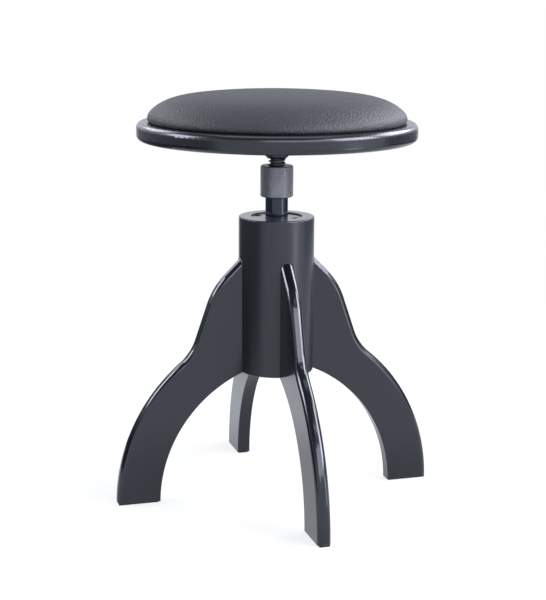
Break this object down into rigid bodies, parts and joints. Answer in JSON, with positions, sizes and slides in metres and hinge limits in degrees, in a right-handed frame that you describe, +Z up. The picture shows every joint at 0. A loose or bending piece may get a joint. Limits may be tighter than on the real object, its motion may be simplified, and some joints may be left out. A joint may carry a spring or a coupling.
{
  "type": "revolving piano stool",
  "caption": "Revolving piano stool: round padded seat on a height screw with a knurled hand nut, over a turned column with curved flat legs.",
  "frame": {"origin": "on the floor, under the middle of the feet and on the axis of the column and the seat", "axes": "+Z up along the seat's axis; the four legs point along +X, +Y, -X and -Y"},
  "size_m": [0.396, 0.396, 0.4894],
  "materials": {
    "black_lacquered_wood": "satin black lacquer over wood",
    "black_leathercloth": "fine grained black leathercloth",
    "plywood": "raw plywood",
    "foam": "open foam",
    "beech": "raw beech",
    "black_painted_steel": "gloss black paint",
    "black_oxide_steel": "black oxide",
    "knurled_oxide_steel": "diamond knurled, black oxide",
    "zinc_plated_steel": "zinc plated",
    "nylon": "graphite filled nylon",
    "felt": "pressed felt"
  },
  "bodies": {
    "base": {"column": "black_lacquered_wood", "guide_tube": "black_painted_steel", "tube_flange": "black_painted_steel", "flange_screws": "black_oxide_steel", "upper_bush": "nylon", "lower_bush": "nylon", "leg_right": "black_lacquered_wood", "leg_back": "black_lacquered_wood", "leg_left": "black_lacquered_wood", "leg_front": "black_lacquered_wood", "leg_dowels": "beech", "foot_pads": "felt"},
    "swivel": {"thrust_washer": "nylon"},
    "nut": {"hand_nut": "knurled_oxide_steel"},
    "seat": {"seat_board": "black_lacquered_wood", "pad_board": "plywood", "seat_foam": "foam", "seat_cover": "black_leathercloth", "cover_staples": "zinc_plated_steel", "pad_screws": "zinc_plated_steel", "spindle_plate": "black_painted_steel", "plate_screws": "zinc_plated_steel", "spindle_hub": "black_painted_steel", "hub_pin": "zinc_plated_steel", "spindle": "black_oxide_steel", "stop_washer": "zinc_plated_steel", "stop_screw": "zinc_plated_steel"}
  },
  "joints": [
    {"name": "seat_revolve", "type": "hinge", "parent": "base", "child": "swivel", "pos_m": [0, 0, 0.36567], "axis": [0, 0, 1], "continuous": true},
    {"name": "nut_turn", "type": "hinge", "parent": "swivel", "child": "nut", "pos_m": [0, 0, 0.3845], "axis": [0, 0, -1], "range_deg": [-720, 10080]},
    {"name": "seat_lift", "type": "slide", "parent": "swivel", "child": "seat", "axis": [0, 0, 1], "range_m": [-0.008, 0.112]}
  ],
  "couplings": [
    {"joint": "nut_turn", "follows": "seat_lift", "rad_per_m": 1570.8}
  ]
}
